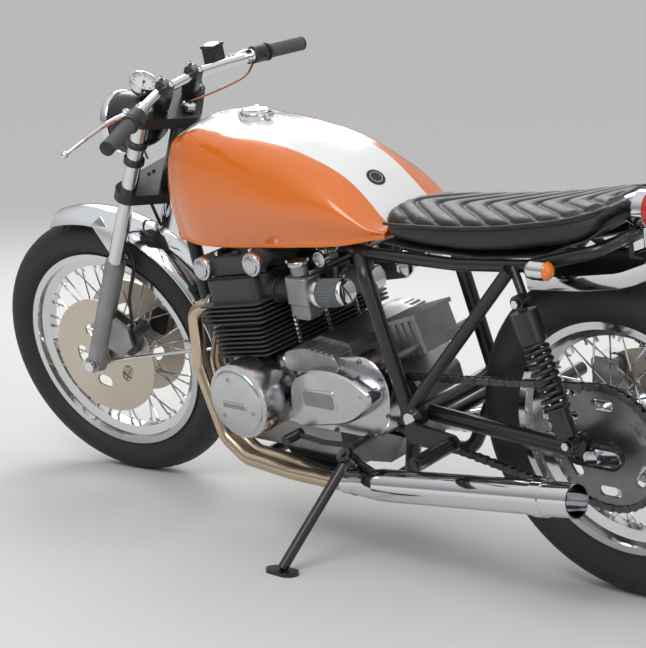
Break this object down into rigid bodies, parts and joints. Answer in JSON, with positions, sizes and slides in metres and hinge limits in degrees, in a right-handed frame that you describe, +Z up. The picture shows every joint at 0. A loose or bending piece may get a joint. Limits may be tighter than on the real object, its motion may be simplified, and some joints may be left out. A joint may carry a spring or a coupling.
{
  "type": "brat style motorcycle",
  "caption": "Brat style motorcycle with an open finned engine, wire wheels and a quilted flat seat, leaning on its side stand.",
  "frame": {"origin": "on the ground, at the middle of the leaning motorcycle's bounding box", "axes": "+X forward along the wheels' track, +Y to the rider's left, +Z up; the motorcycle leans to +Y on its side stand"},
  "size_m": [2.1602, 0.7712, 1.0919],
  "materials": {
    "tyre_rubber": "matte black tyre rubber",
    "chrome_plate": "polished chrome",
    "wheel_chrome": "chrome rim and spokes",
    "disc_steel": "turned steel, light tan",
    "black_paint": "gloss black enamel",
    "orange_paint": "gloss orange with a white stripe",
    "polished_alloy": "polished aluminium covers",
    "cast_alloy": "cast aluminium",
    "black_engine": "satin black engine paint",
    "seat_leather": "black quilted leather",
    "black_plastic": "matte black plastic",
    "red_lens": "red lens",
    "orange_lens": "orange lens",
    "clear_glass": "clear fluted glass",
    "chain_steel": "oiled steel",
    "sprocket_steel": "grey plated steel",
    "grip_rubber": "ribbed grey rubber",
    "hose_rubber": "black hose",
    "header_steel": "chrome tinted gold by heat",
    "filter_gauze": "grey pleated gauze"
  },
  "bodies": {
    "frame": {"air_filters": "filter_gauze", "battery_box": "cast_alloy", "cam_cover": "black_engine", "cam_end_caps": "polished_alloy", "carburettors": "cast_alloy", "chain": "chain_steel", "crankcase": "cast_alloy", "cylinder_block": "black_engine", "cylinder_head": "black_engine", "engine_covers": "polished_alloy", "exhaust_headers": "header_steel", "foot_controls": "black_paint", "frame_cradle": "black_paint", "frame_rear": "black_paint", "frame_spine": "black_paint", "fuel_cap": "chrome_plate", "fuel_tank": "orange_paint", "indicator_lenses": "orange_lens", "indicators": "chrome_plate", "rear_axle": "chrome_plate", "rear_caliper": "cast_alloy", "rear_fender": "chrome_plate", "seat": "seat_leather", "seat_pan": "black_plastic", "shock_absorbers": "black_paint", "shock_springs": "black_paint", "silencers": "chrome_plate", "stand_bracket": "black_paint", "swingarm": "black_paint", "tail_lens": "red_lens", "tail_light": "chrome_plate"},
    "steering": {"bar_clamps": "polished_alloy", "bar_controls": "black_plastic", "brake_hoses": "hose_rubber", "fork_legs": "cast_alloy", "fork_tubes": "chrome_plate", "fork_yokes": "black_paint", "front_axle": "chrome_plate", "front_calipers": "black_paint", "front_fender": "chrome_plate", "gauge": "chrome_plate", "grips": "grip_rubber", "handlebar": "chrome_plate", "headlight": "black_paint", "headlight_ears": "black_paint", "headlight_lens": "clear_glass"},
    "front_wheel": {"front_discs": "disc_steel", "front_tyre": "tyre_rubber", "front_wire_wheel": "wheel_chrome"},
    "rear_wheel": {"rear_disc": "disc_steel", "rear_sprocket": "sprocket_steel", "rear_tyre": "tyre_rubber", "rear_wire_wheel": "wheel_chrome"},
    "side_stand": {"side_stand": "black_paint"}
  },
  "joints": [
    {"name": "steering_turn", "type": "hinge", "parent": "frame", "child": "steering", "pos_m": [0.70112, -0.10829, 0.29994], "axis": [-0.4523, 0.1792, 0.8737], "range_deg": [-41.6, 22.4]},
    {"name": "front_wheel_spin", "type": "hinge", "parent": "steering", "child": "front_wheel", "pos_m": [0.75021, -0.0941, 0.32244], "axis": [-0.1499, 0.9504, -0.2725], "continuous": true},
    {"name": "rear_wheel_spin", "type": "hinge", "parent": "frame", "child": "rear_wheel", "pos_m": [-0.73906, -0.10159, 0.33534], "axis": [-0.0004, 0.9796, -0.2011], "continuous": true},
    {"name": "side_stand_fold", "type": "hinge", "parent": "frame", "child": "side_stand", "pos_m": [-0.16428, 0.08455, 0.22152], "axis": [0.0953, 0.794, 0.6004], "range_deg": [0, 83.7]}
  ]
}
